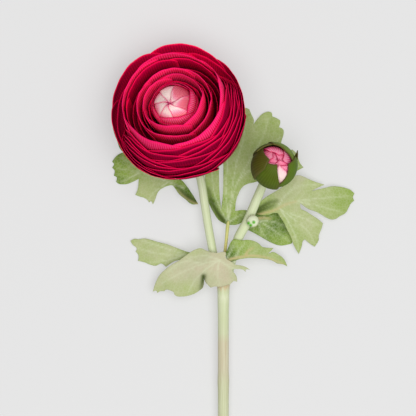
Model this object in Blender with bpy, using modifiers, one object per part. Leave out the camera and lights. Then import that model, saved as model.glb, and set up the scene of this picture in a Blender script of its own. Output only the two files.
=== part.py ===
"""Persian buttercup (Ranunculus asiaticus): a cut flowering stem lying on a flat surface.

A straight stem carries a flower stalk and a bud stalk at its fork, with leaves at the fork, on both
stalks and behind the bud. The flower is a nest of cupped petals on a cone, and looks up and to the
left. Lengths are drawn in millimetres: X is to the right across the stem, Y runs along the stem
towards the flower, and Z is up from the surface, which is at Z = 0.
"""
import math

import bmesh
import bpy
from mathutils import Vector

MM = 0.001

# --- stems ---
CUT_END_Y = -158.0
FORK_Y = 4.0
FORK_Z = 7.5
STEM_RADIUS = 2.75
FORK_RADIUS = 3.4
FLOWER_STALK_RADIUS = 2.1
BUD_STALK_RADIUS = 2.2
PETIOLE_RADIUS = 0.8
TOUCH_GAP = 0.3
CAP_TILT_ROOM = 0.3

# --- flower head: its own frame has h along the axis, from the foot of the petals ---
HEAD_FOOT = Vector((-20.5, 82.4, 15.6))
HEAD_AXIS = Vector((-0.159, 0.374, 0.913)).normalized()
HEAD_CENTRE_H = 14.0
CLAW_ANGLE = 160.0
BALL_RADIUS = 11.3
BALL_CROWN = 4.7
BALL_CLAW = 8.0
OUTER_RADIUS = 33.5
OUTER_CLAW = 21.0
OUTER_TURN_IN = 95.0
LAYER_TWIST = 0.05
PETAL_THICKNESS = 0.35
CLAW_WIDTH = 0.7
RIM_DROP = 0.18
NECK_BEND = 6.0
RECEPTACLE_PROFILE = [(0.0, 8.2), (1.5, 7.6), (2.2, 6.2), (5.9, -6.0), (4.4, -7.4), (2.6, -8.2), (0.0, -8.2)]

# One whorl a line: name, petals, layer (0 is the ball in the middle, 1 the outside),
# angle of the rim from the axis, half width in degrees, turn of the first petal.
WHORLS = [
    ("petal_outer", 6, 1.00, 86.0, 43.0, 20.0),
    ("petal_second", 6, 0.82, 77.0, 43.0, 50.0),
    ("petal_third", 5, 0.64, 65.0, 51.0, 5.0),
    ("petal_fourth", 5, 0.46, 59.0, 51.0, 40.0),
    ("petal_fifth", 4, 0.28, 50.0, 62.0, 15.0),
    ("petal_inner", 4, 0.09, 20.0, 62.0, 60.0),
]
SEPAL_WHORL = ("sepal", 5, 1.14, 146.0, 32.0, 35.0)

# --- bud ---
BUD_CENTRE = Vector((25.0, 61.0, 25.0))
BUD_AXIS = Vector((0.20, 0.28, 0.94)).normalized()
BUD_RADIUS = 11.2
BUD_PETAL_RADIUS = 9.3
BUD_CLAW_ANGLE = 158.0
BUD_TWIST = 0.6
SEPAL_THICKNESS = 0.5
BUD_RIM_DROP = 26.0
BUD_SEPAL_RIMS = [58.0, 50.0, 55.0, 48.0, 62.0]
BUD_PETAL_RIMS = [14.0, 12.0, 16.0, 12.0, 15.0]
BUD_SEPAL_HALF_WIDTH = 41.0
BUD_PETAL_HALF_WIDTH = 44.0
SIDE_BUD_CENTRE = Vector((14.7, 33.5, 13.2))
SIDE_BUD_RADII = (3.1, 3.1, 2.4)

# --- leaves ---
LEAF_THICKNESS = 0.5
LEAF_GRID = 7.0
LEAF_SNAP = 0.6
HEIGHT_SOFTNESS = 5.0
SHARP = True
SMOOTH = False

# Outlines: the points that the shape needs, clockwise from the foot of the blade. A sharp point is
# a tip, a tooth or the bottom of a notch, and the curve runs smoothly through the others.
# Heights: places in plan with the height of the blade there, which it runs smoothly between.
LEAVES = {
    "leaf_front": {
        "outline": [
            (0, 17, SHARP), (-9, 19, SMOOTH), (-15, 18, SMOOTH), (-26, 11, SMOOTH), (-33, 4, SMOOTH),
            (-36, -2, SHARP), (-30, -1, SMOOTH), (-22, -5, SMOOTH), (-14, -3, SMOOTH),
            (-10, 5, SHARP), (-6, 0, SMOOTH), (1, 1, SMOOTH), (7, 3, SHARP), (4, 9, SHARP),
            (10, 8, SMOOTH), (14, 9, SHARP), (9, 11, SMOOTH), (4, 13, SMOOTH)],
        "heights": [(0, 16, 13), (1, 3, 13), (-5, 10, 12.5), (-15, 18, 10), (-25, 5, 7.5),
                    (-35, -2, 5), (-16, -4, 7), (13, 9, 10)],
    },
    "leaf_lower_left": {
        "outline": [
            (-7.4, 16, SHARP), (-18, 18, SMOOTH), (-28, 21, SMOOTH), (-40, 25, SMOOTH),
            (-47, 24, SHARP), (-44, 18, SMOOTH), (-44, 12, SHARP), (-36, 11, SMOOTH),
            (-29, 10, SHARP), (-22, 14, SMOOTH), (-12, 14, SMOOTH)],
        "heights": [(-8, 16, 6.5), (-18, 16, 4.5), (-30, 17, 2.5), (-46, 24, 0.3), (-43, 13, 0.3),
                    (-29, 10, 0.8)],
    },
    "leaf_lower_right": {
        "outline": [
            (1, 17, SHARP), (4, 22, SMOOTH), (10, 24, SMOOTH), (17, 23, SMOOTH), (20, 20, SMOOTH),
            (25, 20, SHARP), (22, 17, SHARP), (28, 16, SMOOTH), (32, 11, SHARP), (26, 12, SMOOTH),
            (20, 14, SMOOTH), (10, 14, SMOOTH), (2, 13, SHARP)],
        "heights": [(1, 15, 11.4), (6, 18, 12), (14, 20, 10.4), (24, 19, 6), (31, 12, 3.5),
                    (14, 14, 9.5)],
    },
    "leaf_upper": {
        "outline": [
            (2, 32, SHARP), (-4, 36, SMOOTH), (-8, 45, SMOOTH), (-9, 57, SMOOTH), (-9, 67, SMOOTH),
            (-5, 74, SHARP), (-2, 66, SMOOTH), (-2, 52, SMOOTH), (-1, 39, SHARP), (0, 52, SMOOTH),
            (0, 70, SMOOTH), (3, 86, SMOOTH), (11, 91, SHARP), (15, 83, SHARP), (20, 88, SMOOTH),
            (25, 88, SHARP), (29, 80, SMOOTH), (28, 69, SMOOTH), (23, 57, SMOOTH), (13, 53, SMOOTH),
            (8, 48, SMOOTH), (6, 38, SHARP), (13, 38, SHARP), (9, 32, SMOOTH)],
        "heights": [(2, 32, 5.6), (10, 36, 5), (0, 48, 4), (-8, 48, 2), (-7, 68, 1.2), (4, 62, 4.2),
                    (15, 62, 4.5), (28, 72, 1.2), (11, 90, 0.3), (25, 88, 0.3), (29, 80, 0.5)],
    },
    "leaf_left": {
        "outline": [
            (-12.4, 42, SHARP), (-20, 53, SMOOTH), (-33, 65, SMOOTH), (-42, 82, SMOOTH),
            (-51, 87, SHARP), (-56, 83, SHARP), (-54, 75, SMOOTH), (-48, 67, SHARP),
            (-53, 67, SMOOTH), (-56, 62, SMOOTH), (-54, 54, SMOOTH), (-49, 52, SMOOTH),
            (-43, 55, SHARP), (-44, 47, SHARP), (-36, 42, SHARP), (-32, 49, SMOOTH),
            (-26, 51, SMOOTH), (-19, 45, SMOOTH), (-14, 41, SHARP)],
        "heights": [(-13, 42, 5.5), (-20, 48, 3.5), (-28, 56, 2.6), (-45, 60, 0.8), (-55, 60, 0.3),
                    (-37, 44, 0.3), (-52, 82, 0.3), (-36, 68, 1.8)],
    },
    "leaf_right": {
        "outline": [
            (16, 37, SHARP), (22, 45, SMOOTH), (30, 51, SMOOTH), (37, 56, SMOOTH), (50, 53, SHARP),
            (47, 51, SHARP), (57, 51, SMOOTH), (64, 50, SMOOTH), (66, 46, SMOOTH), (62, 38, SMOOTH),
            (55, 34, SMOOTH), (39, 42, SHARP), (44, 37, SMOOTH), (50, 32, SHARP), (49, 26, SMOOTH),
            (46, 21, SHARP), (41, 24, SHARP), (38, 17, SHARP), (34, 26, SMOOTH), (28, 36, SMOOTH),
            (21, 36, SMOOTH)],
        "heights": [(17, 37, 8.4), (25, 41, 8), (33, 50, 6), (40, 54, 4.5), (50, 52, 2),
                    (66, 46, 0.3), (56, 40, 2.5), (38, 40, 7), (29, 37, 7.5), (48, 30, 2.5),
                    (46, 22, 0.3), (35, 27, 4.5), (38, 18, 1.5)],
    },
    "leaf_right_under": {
        "outline": [
            (16, 35, SHARP), (11, 29, SHARP), (17, 26, SMOOTH), (26, 21, SMOOTH), (35, 22, SHARP),
            (37, 28, SMOOTH), (33, 34, SMOOTH), (24, 35, SMOOTH)],
        "heights": [(16, 34, 4.6), (12, 30, 4), (20, 29, 2.8), (28, 30, 1.5), (28, 23, 0.3),
                    (36, 24, 0.3), (34, 32, 0.6)],
    },
    "leaf_behind_bud": {
        "outline": [
            (22, 52, SHARP), (26, 62, SMOOTH), (31, 69, SMOOTH), (36, 70, SHARP), (38, 65, SMOOTH),
            (40, 60, SHARP), (35, 58, SMOOTH), (28, 54, SMOOTH)],
        "heights": [(22, 52, 9.6), (30, 60, 9), (36, 69, 7.5), (40, 60, 7.5)],
    },
}

COLOURS = {
    "stem": (0.58, 0.65, 0.35),
    "petiole": (0.68, 0.61, 0.18),
    "leaf": (0.42, 0.50, 0.24),
    "petal": (0.55, 0.0, 0.045),
    "sepal": (0.13, 0.18, 0.02),
    "bud_petal": (0.87, 0.15, 0.30),
}
ROUGHNESS = 0.6


def clear_scene():
    """Remove what a new Blender file starts with."""
    for obj in list(bpy.data.objects):
        bpy.data.objects.remove(obj, do_unlink=True)


def make_material(name, colour):
    """A Principled material with one colour."""
    material = bpy.data.materials.new(name)
    material.use_nodes = True
    shader = material.node_tree.nodes["Principled BSDF"]
    shader.inputs["Base Color"].default_value = (*colour, 1.0)
    shader.inputs["Roughness"].default_value = ROUGHNESS
    return material


def add_part(name, data, material, root):
    """Put a mesh or a curve in the flower's collection, under the root empty."""
    data.materials.append(material)
    part = bpy.data.objects.new(name, data)
    root.users_collection[0].objects.link(part)
    part.parent = root
    return part


def thicken(part, thickness):
    """Give a sheet its thickness, half to each side."""
    solidify = part.modifiers.new("thickness", "SOLIDIFY")
    solidify.thickness = thickness * MM
    solidify.offset = 0.0


def bend_down(start, axis, radius, steps=4):
    """Points of the arc that leads from a head, back along its axis, round to level."""
    level = Vector((-axis.x, -axis.y, 0.0)).normalized()
    pitch = math.asin(axis.z)
    points = []
    for step in range(steps + 1):
        angle = pitch * (1.0 - step / steps)
        along = radius * (math.sin(pitch) - math.sin(angle))
        down = radius * (math.cos(angle) - math.cos(pitch))
        points.append(start + level * along - Vector((0.0, 0.0, down)))
    return points


def make_tube(name, route, radii, material, root):
    """A stem: a smooth curve through the route, with a radius at each of its points."""
    curve = bpy.data.curves.new(name, "CURVE")
    curve.dimensions = "3D"
    curve.bevel_depth = MM
    curve.bevel_resolution = 3
    curve.resolution_u = 3
    curve.use_fill_caps = True
    spline = curve.splines.new("BEZIER")
    spline.bezier_points.add(len(route) - 1)
    for point, place, radius in zip(spline.bezier_points, route, radii):
        point.co = Vector(place) * MM
        point.radius = radius
        point.handle_left_type = "AUTO"
        point.handle_right_type = "AUTO"
    return add_part(name, curve, material, root)


def make_stems(stem, petiole, root):
    """The main stem up to the fork, the flower stalk, the bud stalk and one leaf stalk."""
    main_route = [(0, CUT_END_Y, STEM_RADIUS), (0, -120, 2.9), (0, -80, 3.8), (0, -40, 5.4),
                  (0, -8, 7.0), (0, FORK_Y, FORK_Z)]
    main_radii = [STEM_RADIUS, STEM_RADIUS, 2.7, 2.75, 2.85, FORK_RADIUS]
    make_tube("main_stem", main_route, main_radii, stem, root)

    foot_y = FORK_Y + TOUCH_GAP + CAP_TILT_ROOM
    neck_top = HEAD_FOOT + HEAD_AXIS * (RECEPTACLE_PROFILE[-1][1] - TOUCH_GAP)
    flower_route = [(-1.95, foot_y, FORK_Z), (-3.6, 11, 7.5), (-5.25, 18, 7.4), (-7.5, 30, 7.0),
                    (-9.4, 42, 6.3), (-11.25, 53.5, 5.2), (-14.0, 64, 3.8)]
    flower_route += list(reversed(bend_down(neck_top, HEAD_AXIS, NECK_BEND)))
    flower_radii = [FLOWER_STALK_RADIUS] * len(flower_route)
    make_tube("flower_stalk", flower_route, flower_radii, stem, root)

    bud_foot = BUD_CENTRE - BUD_AXIS * (BUD_RADIUS + 1.0)
    bud_route = [(2.7, foot_y, FORK_Z), (4.1, 13, 7.6), (7.4, 24.5, 8.0), (11.9, 33, 8.7),
                 (16.4, 43.5, 9.2)]
    bud_route += list(reversed(bend_down(bud_foot, BUD_AXIS, NECK_BEND)))
    bud_radii = [BUD_STALK_RADIUS] * len(bud_route)
    make_tube("bud_stalk", bud_route, bud_radii, stem, root)

    petiole_route = [(-0.4, 12, 7.4), (0.8, 18, 7.0), (1.6, 25, 6.4), (2.2, 31.2, 5.9)]
    make_tube("upper_leaf_stalk", petiole_route, [PETIOLE_RADIUS] * 4, petiole, root)


def head_frame(axis):
    """Two directions across an axis: the first has no height, the second climbs."""
    across = Vector((0.0, 0.0, 1.0)).cross(axis).normalized()
    return across, axis.cross(across)


def make_turned(name, profile, foot, axis, material, root):
    """A solid turned round an axis, from a profile of radius and height."""
    mesh = bpy.data.meshes.new(name)
    shape = bmesh.new()
    points = [shape.verts.new((radius * MM, 0.0, height * MM)) for radius, height in profile]
    for lower, upper in zip(points, points[1:]):
        shape.edges.new((lower, upper))
    shape.to_mesh(mesh)
    shape.free()
    part = add_part(name, mesh, material, root)
    part.location = foot * MM
    part.rotation_mode = "QUATERNION"
    part.rotation_quaternion = axis.to_track_quat("Z", "Y")
    screw = part.modifiers.new("turn", "SCREW")
    screw.steps = 16
    screw.render_steps = 16
    screw.use_merge_vertices = True
    screw.merge_threshold = 0.1 * MM
    return part


def cup_radius(layer, angle):
    """Distance of a petal layer from the head's centre, at an angle in degrees from the axis."""
    if angle < 90.0:
        ball = BALL_RADIUS + BALL_CROWN * math.cos(math.radians(angle)) ** 2
    else:
        ball = BALL_RADIUS - (BALL_RADIUS - BALL_CLAW) * ((angle - 90.0) / (CLAW_ANGLE - 90.0)) ** 2
    outer = OUTER_RADIUS
    if angle > OUTER_TURN_IN:
        fall = (angle - OUTER_TURN_IN) / (CLAW_ANGLE - OUTER_TURN_IN)
        outer -= (OUTER_RADIUS - OUTER_CLAW) * fall ** 2
    return ball + (outer - ball) * layer


def make_sheet(name, place, thickness, material, root, columns=6, rows=5):
    """A petal-like sheet: a grid whose points are put where place(across, along) says.

    Across runs from -1 to 1, and along from 0 at the claw to 1 at the rim.
    """
    mesh = bpy.data.meshes.new(name)
    shape = bmesh.new()
    bmesh.ops.create_grid(shape, x_segments=columns, y_segments=rows, size=1.0)
    for vert in shape.verts:
        vert.co = place(vert.co.x, (vert.co.y + 1.0) / 2.0) * MM
    shape.to_mesh(mesh)
    shape.free()
    part = add_part(name, mesh, material, root)
    thicken(part, thickness)
    return part


def make_whorl(whorl, thickness, material, root, rows=5):
    """Overlapping cupped petals round the head, each one tucked under the next."""
    name, count, layer, rim, half_width, turn = whorl
    across_dir, up_dir = head_frame(HEAD_AXIS)
    for index in range(count):
        middle = turn + index * 360.0 / count

        def place(across, along, middle=middle):
            top = rim + (CLAW_ANGLE - rim) * RIM_DROP * across ** 4
            angle = CLAW_ANGLE + (top - CLAW_ANGLE) * along
            width = half_width * (CLAW_WIDTH + (1.0 - CLAW_WIDTH) * min(1.0, along * 2.0))
            azimuth = math.radians(middle + width * across)
            reach = cup_radius(layer + LAYER_TWIST * across, angle)
            out = reach * math.sin(math.radians(angle))
            height = HEAD_CENTRE_H + reach * math.cos(math.radians(angle))
            sideways = across_dir * math.cos(azimuth) + up_dir * math.sin(azimuth)
            return HEAD_FOOT + HEAD_AXIS * height + sideways * out

        make_sheet(f"{name}_{index + 1}", place, thickness, material, root, rows=rows)


def make_bud(sepal, petal, root):
    """A round bud: five sepals that part at the top round five folded petals."""
    across_dir, up_dir = head_frame(BUD_AXIS)
    step = 360.0 / len(BUD_SEPAL_RIMS)
    sheets = {
        "bud_sepal": (BUD_SEPAL_RIMS, BUD_RADIUS, BUD_SEPAL_HALF_WIDTH, SEPAL_THICKNESS, sepal, 0.0),
        "bud_petal": (BUD_PETAL_RIMS, BUD_PETAL_RADIUS, BUD_PETAL_HALF_WIDTH, PETAL_THICKNESS, petal,
                      step / 2.0),
    }
    for name, (rims, radius, half_width, thickness, material, turn) in sheets.items():
        for index, rim in enumerate(rims):
            middle = turn + index * step

            def place(across, along, middle=middle, rim=rim, radius=radius, half_width=half_width):
                top = rim + BUD_RIM_DROP * across ** 2
                angle = BUD_CLAW_ANGLE + (top - BUD_CLAW_ANGLE) * along
                azimuth = math.radians(middle + half_width * across)
                reach = radius + BUD_TWIST * across
                out = reach * math.sin(math.radians(angle))
                height = reach * math.cos(math.radians(angle))
                sideways = across_dir * math.cos(azimuth) + up_dir * math.sin(azimuth)
                return BUD_CENTRE + BUD_AXIS * height + sideways * out

            make_sheet(f"{name}_{index + 1}", place, thickness, material, root, columns=5)


def make_side_bud(material, root):
    """The small knob on the bud stalk, where a side shoot starts."""
    mesh = bpy.data.meshes.new("side_bud")
    shape = bmesh.new()
    bmesh.ops.create_uvsphere(shape, u_segments=12, v_segments=8, radius=MM)
    for vert in shape.verts:
        vert.co = Vector(side * size for side, size in zip(vert.co, SIDE_BUD_RADII))
    shape.to_mesh(mesh)
    shape.free()
    part = add_part("side_bud", mesh, material, root)
    part.location = SIDE_BUD_CENTRE * MM


def flat_outline(name, outline):
    """The closed edge of a blade in plan, from a curve with sharp and smooth points."""
    curve = bpy.data.curves.new(name + "_outline", "CURVE")
    curve.dimensions = "2D"
    curve.fill_mode = "NONE"
    curve.resolution_u = 3
    spline = curve.splines.new("BEZIER")
    spline.use_cyclic_u = True
    spline.bezier_points.add(len(outline) - 1)
    for point, (x, y, sharp) in zip(spline.bezier_points, outline):
        point.co = (x, y, 0.0)
        handle = "VECTOR" if sharp else "AUTO"
        point.handle_left_type = handle
        point.handle_right_type = handle
    guide = bpy.data.objects.new(name + "_outline", curve)
    bpy.context.scene.collection.objects.link(guide)
    bpy.context.view_layer.update()
    graph = bpy.context.evaluated_depsgraph_get()
    mesh = bpy.data.meshes.new_from_object(guide.evaluated_get(graph))
    bpy.data.objects.remove(guide, do_unlink=True)
    return mesh


def blade_height(heights, x, y):
    """Height of a blade over a place in plan, run smoothly between its stated heights."""
    total = 0.0
    weights = 0.0
    for near_x, near_y, height in heights:
        weight = 1.0 / ((x - near_x) ** 2 + (y - near_y) ** 2 + HEIGHT_SOFTNESS ** 2) ** 1.5
        total += weight * height
        weights += weight
    return max(total / weights, LEAF_THICKNESS / 2.0)


def make_leaf(name, outline, heights, material, root):
    """A lobed leaf blade: its outline filled, cut by a grid, raised to its heights, thickened."""
    mesh = flat_outline(name, outline)
    shape = bmesh.new()
    shape.from_mesh(mesh)
    bmesh.ops.contextual_create(shape, geom=shape.edges[:])
    for side in range(2):
        values = [vert.co[side] for vert in shape.verts]
        cut = math.floor(min(values) / LEAF_GRID) * LEAF_GRID + LEAF_GRID
        normal = Vector((1.0 - side, side, 0.0))
        while cut < max(values):
            everything = shape.verts[:] + shape.edges[:] + shape.faces[:]
            bmesh.ops.bisect_plane(
                shape, geom=everything, dist=LEAF_SNAP, plane_co=normal * cut, plane_no=normal)
            cut += LEAF_GRID
    bmesh.ops.triangulate(shape, faces=shape.faces[:])
    for vert in shape.verts:
        vert.co.z = blade_height(heights, vert.co.x, vert.co.y)
        vert.co *= MM
    shape.to_mesh(mesh)
    shape.free()
    part = add_part(name, mesh, material, root)
    thicken(part, LEAF_THICKNESS)


def stand_on_origin(root):
    """Shift the flower so that the origin is under the middle of its box, on the surface."""
    bpy.context.view_layer.update()
    graph = bpy.context.evaluated_depsgraph_get()
    low = Vector((math.inf,) * 3)
    high = Vector((-math.inf,) * 3)
    for part in root.children:
        shown = part.evaluated_get(graph)
        mesh = shown.to_mesh()
        for vert in mesh.vertices:
            place = part.matrix_world @ vert.co
            low = Vector(map(min, low, place))
            high = Vector(map(max, high, place))
        shown.to_mesh_clear()
    root.location = (-(low.x + high.x) / 2.0, -(low.y + high.y) / 2.0, -low.z)


def main():
    """Build the whole flower."""
    clear_scene()
    collection = bpy.data.collections.new("persian_buttercup")
    bpy.context.scene.collection.children.link(collection)
    root = bpy.data.objects.new("flower_root", None)
    collection.objects.link(root)
    materials = {name: make_material(name, colour) for name, colour in COLOURS.items()}

    make_stems(materials["stem"], materials["petiole"], root)
    make_turned("receptacle", RECEPTACLE_PROFILE, HEAD_FOOT, HEAD_AXIS, materials["stem"], root)
    for whorl in WHORLS:
        make_whorl(whorl, PETAL_THICKNESS, materials["petal"], root)
    make_whorl(SEPAL_WHORL, SEPAL_THICKNESS, materials["sepal"], root, rows=3)
    make_bud(materials["sepal"], materials["bud_petal"], root)
    make_side_bud(materials["stem"], root)
    for name, leaf in LEAVES.items():
        make_leaf(name, leaf["outline"], leaf["heights"], materials["leaf"], root)
    stand_on_origin(root)


main()
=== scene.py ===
# %% [markdown]
# # A Persian buttercup
#
# A ranunculus flower is a nest of thin petals, dozens of them, cupped round each other like the
# leaves of a cabbage. We load the plain model that gives every piece its place, and then make each
# petal, leaf and stem properly, one finish at a time. All drawing is done in millimetres.

# %% Load the frame
import math
import random

import bmesh
import bpy
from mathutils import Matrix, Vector, kdtree, noise

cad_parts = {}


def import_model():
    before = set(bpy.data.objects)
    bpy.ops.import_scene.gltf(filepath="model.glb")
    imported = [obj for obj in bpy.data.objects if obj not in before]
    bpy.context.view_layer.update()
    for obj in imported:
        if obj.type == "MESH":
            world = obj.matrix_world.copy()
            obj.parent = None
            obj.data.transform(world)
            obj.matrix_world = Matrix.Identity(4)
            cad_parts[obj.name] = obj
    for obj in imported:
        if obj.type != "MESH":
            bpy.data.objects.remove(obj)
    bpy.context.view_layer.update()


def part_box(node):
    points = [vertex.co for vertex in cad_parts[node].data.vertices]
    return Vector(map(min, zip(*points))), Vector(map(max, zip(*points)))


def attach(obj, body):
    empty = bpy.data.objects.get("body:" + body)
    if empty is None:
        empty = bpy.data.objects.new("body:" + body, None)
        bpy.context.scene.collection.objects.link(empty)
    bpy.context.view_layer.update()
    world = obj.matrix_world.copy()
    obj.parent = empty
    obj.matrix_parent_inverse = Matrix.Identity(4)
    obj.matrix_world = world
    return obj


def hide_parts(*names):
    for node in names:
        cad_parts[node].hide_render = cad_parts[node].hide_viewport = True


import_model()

MM = 0.001
CUT_END_Y = -158.0
stem_low, stem_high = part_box("main_stem")
ORIGIN = Vector(((stem_low.x + stem_high.x) / 2, stem_low.y - CUT_END_Y * MM, 0.0))


def world(point):
    """A point drawn in millimetres, in the frame's metres."""
    return ORIGIN + Vector(point) * MM


print("fork of the stem at", tuple(round(side, 4) for side in world((0, 4, 7.5))))

# %% [markdown]
# The camera looks straight down on the flower from over a metre away, with a long lens, so that
# petals near it and leaves far from it keep their true sizes.

# %% Camera
VIEW_CENTRE = (-7.75, 40.0, 16.0)
VIEW_WIDTH = 208.0
LENS = 200.0
SENSOR = 36.0

camera_data = bpy.data.cameras.new("camera")
camera_data.lens = LENS
camera_data.sensor_width = SENSOR
camera = bpy.data.objects.new("camera", camera_data)
bpy.context.scene.collection.objects.link(camera)
camera.location = world(VIEW_CENTRE) + Vector((0, 0, VIEW_WIDTH * MM * LENS / SENSOR))
bpy.context.scene.camera = camera
print("camera height", round(camera.location.z, 3))

# %% [markdown]
# Plain light for a plain picture: a big soft panel right above, an even glow from everywhere else,
# and a floor that glows a little itself, like a light table, so that the flower has no hard shadow.

# %% Floor and light
FLOOR_SIZE = 6.0
FLOOR_DROP = 0.2
PANEL_PLACE = Vector((0.2, -0.15, 1.8))
PANEL_SIZE = 2.2
PANEL_WATTS = 36.0
GLOW = 0.34
FLOOR_GLOW = 0.37


def hex_colour(code):
    """An sRGB hex colour as linear red, green, blue and alpha."""
    channels = [int(code[start:start + 2], 16) / 255 for start in (1, 3, 5)]
    linear = [c / 12.92 if c <= 0.04045 else ((c + 0.055) / 1.055) ** 2.4 for c in channels]
    return (*linear, 1.0)


def add_node(tree, kind, values=None, links=None, stops=None, **settings):
    """Add a node: settings are its properties, values its sockets, links what feeds them."""
    node = tree.nodes.new(kind)
    for name, setting in settings.items():
        setattr(node, name, setting)
    for socket, value in (values or {}).items():
        node.inputs[socket].default_value = value
    for socket, source in (links or {}).items():
        tree.links.new(source, node.inputs[socket])
    if stops:
        ramp = node.color_ramp
        while len(ramp.elements) < len(stops):
            ramp.elements.new(1.0)
        for element, (position, colour) in zip(ramp.elements, stops):
            element.position = position
            element.color = hex_colour(colour)
    return node


def new_material(name, roughness, reads=()):
    """A Principled material: its tree, its shader, and an output for each attribute that it reads."""
    material = bpy.data.materials.new(name)
    material.use_nodes = True
    tree = material.node_tree
    shader = tree.nodes["Principled BSDF"]
    shader.inputs["Roughness"].default_value = roughness
    read = {key: add_node(tree, "ShaderNodeAttribute", attribute_name=key).outputs["Fac"]
            for key in reads}
    return material, tree, shader, read


bpy.context.scene.view_settings.view_transform = "Standard"
sky = bpy.data.worlds.new("even glow")
bpy.context.scene.world = sky
sky.use_nodes = True
sky.node_tree.nodes["Background"].inputs["Color"].default_value = (1, 1, 1, 1)
sky.node_tree.nodes["Background"].inputs["Strength"].default_value = GLOW

panel_data = bpy.data.lights.new("soft panel", "AREA")
panel_data.shape = "DISK"
panel_data.size = PANEL_SIZE
panel_data.energy = PANEL_WATTS
panel = bpy.data.objects.new("soft panel", panel_data)
bpy.context.scene.collection.objects.link(panel)
panel.location = PANEL_PLACE
panel.rotation_mode = "QUATERNION"
panel.rotation_quaternion = PANEL_PLACE.to_track_quat("Z", "Y")

paper, _, paper_shader, _ = new_material("pale paper", 0.9)
paper_shader.inputs["Base Color"].default_value = hex_colour("#A4A4A4")
paper_shader.inputs["Emission Color"].default_value = (1, 1, 1, 1)
paper_shader.inputs["Emission Strength"].default_value = FLOOR_GLOW
paper_shader.inputs["Specular IOR Level"].default_value = 0.1
floor_shape = bmesh.new()
bmesh.ops.create_grid(floor_shape, x_segments=1, y_segments=1, size=FLOOR_SIZE / 2)
floor_mesh = bpy.data.meshes.new("floor")
floor_shape.to_mesh(floor_mesh)
floor_shape.free()
floor_mesh.materials.append(paper)
floor = bpy.data.objects.new("floor", floor_mesh)
bpy.context.scene.collection.objects.link(floor)
floor.location.z = -FLOOR_DROP * MM
print("light:", PANEL_WATTS, "W from a panel", PANEL_SIZE, "m across")

# %% [markdown]
# Every piece ends the same way: its mesh becomes an object at the origin, with its material, rides
# on the root body, and hides the plain solid that it stands for, if it has one.

# %% Finishing a piece
def finish_piece(shape, name, material, cad_node=None, thickness=0.0):
    """Turn a bmesh into a finished piece, with a wall thickness in millimetres if it is a sheet."""
    mesh = bpy.data.meshes.new(name)
    shape.to_mesh(mesh)
    shape.free()
    mesh.shade_smooth()
    mesh.materials.append(material)
    piece = bpy.data.objects.new(name, mesh)
    bpy.context.scene.collection.objects.link(piece)
    if thickness:
        wall = piece.modifiers.new("thickness", "SOLIDIFY")
        wall.thickness = thickness * MM
        wall.offset = 0.0
    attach(piece, "root")
    if cad_node:
        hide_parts(cad_node)
    return piece


# %% [markdown]
# Every finish ends the same way too. Coats of colour lie over the ground colour, each with its own
# place and strength. A relief a fraction of a millimetre deep gives the light something to catch.

# %% Finishing a material
RELIEF_DEPTH = 0.15


def add_coats(tree, colour, coats):
    """Lay coats over a colour; each is the output that says where it is, its strength and its code."""
    for place, strength, code in coats:
        share = add_node(tree, "ShaderNodeMath", operation="MULTIPLY", links={0: place},
                         values={1: strength})
        coated = add_node(tree, "ShaderNodeMix", data_type="RGBA", values={7: hex_colour(code)},
                          links={0: share.outputs[0], 6: colour})
        colour = coated.outputs[2]
    return colour


def finish_material(tree, shader, colour, height, relief, gloss):
    """Join a colour and a relief to the shader, and set how much the surface shines."""
    tree.links.new(colour, shader.inputs["Base Color"])
    bump = add_node(tree, "ShaderNodeBump", links={"Height": height},
                    values={"Strength": relief, "Distance": RELIEF_DEPTH * MM})
    tree.links.new(bump.outputs["Normal"], shader.inputs["Normal"])
    shader.inputs["Specular IOR Level"].default_value = gloss


print("relief", RELIEF_DEPTH, "mm deep")

# %% [markdown]
# ## The petals' finish
#
# A petal is soft and matt, with fine ribs that run from its claw to its rim, close enough to look
# like corded silk. Light and shade are painted into its colour: the ramp darkens towards the claw as
# painted shade deep in the head, the crimson and cerise ramps end in a painted glow at the thin rim,
# where light would pass through, the ribs carry a painted highlight, and the edge carries a painted
# highlight on bright rims and a darker painted crease line on the rest. The sheet carries four
# numbers for this: how far along from claw to rim a point is, how far across in millimetres, how near
# its edge, and how pale it is. The ribs stand 1.3 mm apart, coarser than the finest real ones, so
# that they show. A band texture repeats at its period divided by its scale.

# %% Petal material
RIB_SPACING = 1.3
BAND_PERIOD = 0.314


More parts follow.
